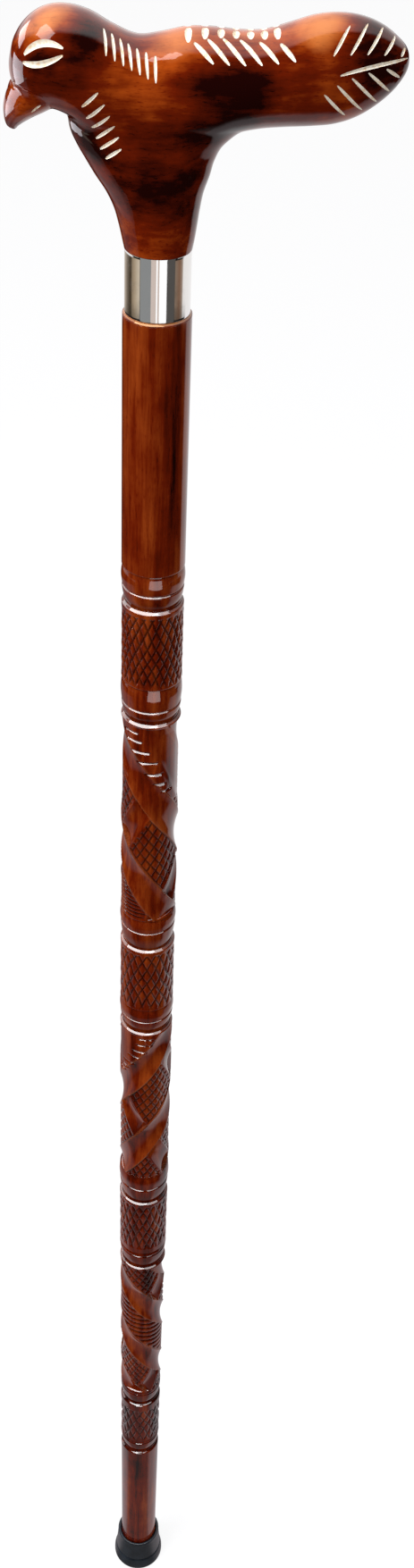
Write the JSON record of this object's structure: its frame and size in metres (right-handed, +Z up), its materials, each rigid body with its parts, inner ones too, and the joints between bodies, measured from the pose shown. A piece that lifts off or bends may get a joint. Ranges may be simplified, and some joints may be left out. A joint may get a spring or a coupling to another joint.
{
  "type": "walking stick",
  "caption": "Carved wooden walking stick with a bird-shaped T handle, screw-on metal collar joint and rubber foot.",
  "frame": {"origin": "centre of the ferrule's ground face, on the shaft's axis", "axes": "+Z up along the shaft, -X the way the bird looks, +X towards its tail, +Y square to the handle"},
  "size_m": [0.1263, 0.031, 0.9181],
  "materials": {
    "shaft_wood": "red-brown stain under gloss lacquer",
    "handle_wood": "burnt and stained brown under high-gloss lacquer",
    "chrome": "polished",
    "steel": "zinc plated",
    "rubber": "satin moulded"
  },
  "bodies": {
    "shaft": {"shaft": "shaft_wood", "joint_stud": "steel"},
    "collar": {"collar": "chrome"},
    "handle": {"handle": "handle_wood", "handle_insert": "steel"},
    "ferrule": {"ferrule": "rubber", "ferrule_washer": "steel"}
  },
  "joints": [
    {"name": "collar_lift", "type": "slide", "parent": "shaft", "child": "collar", "axis": [0, 0, 1], "range_m": [0, 0.0151]},
    {"name": "handle_turn", "type": "hinge", "parent": "collar", "child": "handle", "pos_m": [0, 0, 0.8425], "axis": [0, 0, 1], "range_deg": [0, 4320]},
    {"name": "ferrule_pull", "type": "slide", "parent": "shaft", "child": "ferrule", "axis": [0, 0, -1], "range_m": [0, 0.03]}
  ],
  "couplings": [
    {"joint": "collar_lift", "follows": "handle_turn", "m_per_rad": 0.00019894}
  ]
}
